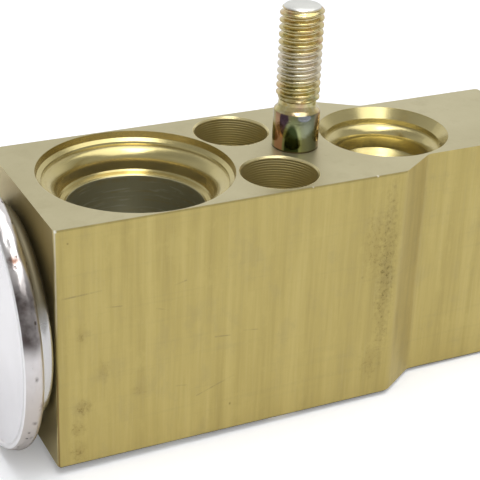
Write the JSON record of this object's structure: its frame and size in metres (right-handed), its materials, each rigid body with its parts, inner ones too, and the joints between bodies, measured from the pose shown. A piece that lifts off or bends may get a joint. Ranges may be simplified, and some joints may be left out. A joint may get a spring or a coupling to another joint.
{
  "type": "thermostatic expansion valve",
  "caption": "Block expansion valve with a power head on one end, stepped suction and liquid ports, mounting stud and holes, sprung ball valve and adjusting screw.",
  "frame": {"origin": "on the evaporator face, midway between the two mounting holes", "axes": "+X along the valve axis from the power head to the adjusting screw, +Z out of the tube plate face along the stud"},
  "size_m": [0.0809, 0.0364, 0.0551],
  "materials": {
    "gold_aluminium": "gold chromate coating, drawn lines along the height",
    "yellow_zinc": "yellow zinc plating with rainbow tints",
    "head_steel": "pale stainless, satin",
    "weld_steel": "stainless weld bead, pitted, with heat tint",
    "thin_steel": "rolled stainless foil",
    "rod_aluminium": "turned",
    "pin_steel": "ground",
    "ball_steel": "polished",
    "turned_brass": "turned",
    "spring_steel": "drawn wire",
    "black_rubber": "matt",
    "white_polymer": "turned fluoropolymer"
  },
  "bodies": {
    "valve_body": {"valve_block": "gold_aluminium", "mounting_stud": "yellow_zinc", "head_base": "head_steel", "head_lid": "head_steel", "fill_plug": "head_steel", "rim_weld_bead": "weld_steel", "diaphragm": "thin_steel", "head_hub": "head_steel", "head_seal": "black_rubber", "rod_seal": "black_rubber", "seal_retainer": "thin_steel", "bias_spring": "spring_steel"},
    "valve_stem": {"stop_plate": "turned_brass", "sensing_rod": "rod_aluminium", "push_pin": "pin_steel", "valve_ball": "ball_steel", "ball_carrier": "turned_brass", "damper_ring": "white_polymer"},
    "adjuster_seal_ring": {"adjuster_seal": "black_rubber"},
    "adjusting_screw": {"adjusting_screw": "turned_brass"}
  },
  "joints": [
    {"name": "valve_stroke", "type": "slide", "parent": "valve_body", "child": "valve_stem", "axis": [1, 0, 0], "range_m": [0, 0.0008], "stiffness_N_per_m": 10000, "springref_m": -0.004, "deforming": ["bias_spring", "diaphragm"]},
    {"name": "adjuster_travel", "type": "slide", "parent": "valve_body", "child": "adjuster_seal_ring", "axis": [1, 0, 0], "range_m": [-0.001, 0.001], "deforming": ["bias_spring"]},
    {"name": "adjuster_turn", "type": "hinge", "parent": "adjuster_seal_ring", "child": "adjusting_screw", "pos_m": [0.033, 0, 0.01715], "axis": [1, 0, 0], "range_deg": [-360, 360], "deforming": ["bias_spring"]}
  ],
  "couplings": [
    {"joint": "adjuster_travel", "follows": "adjuster_turn", "m_per_rad": 0.00015915}
  ]
}
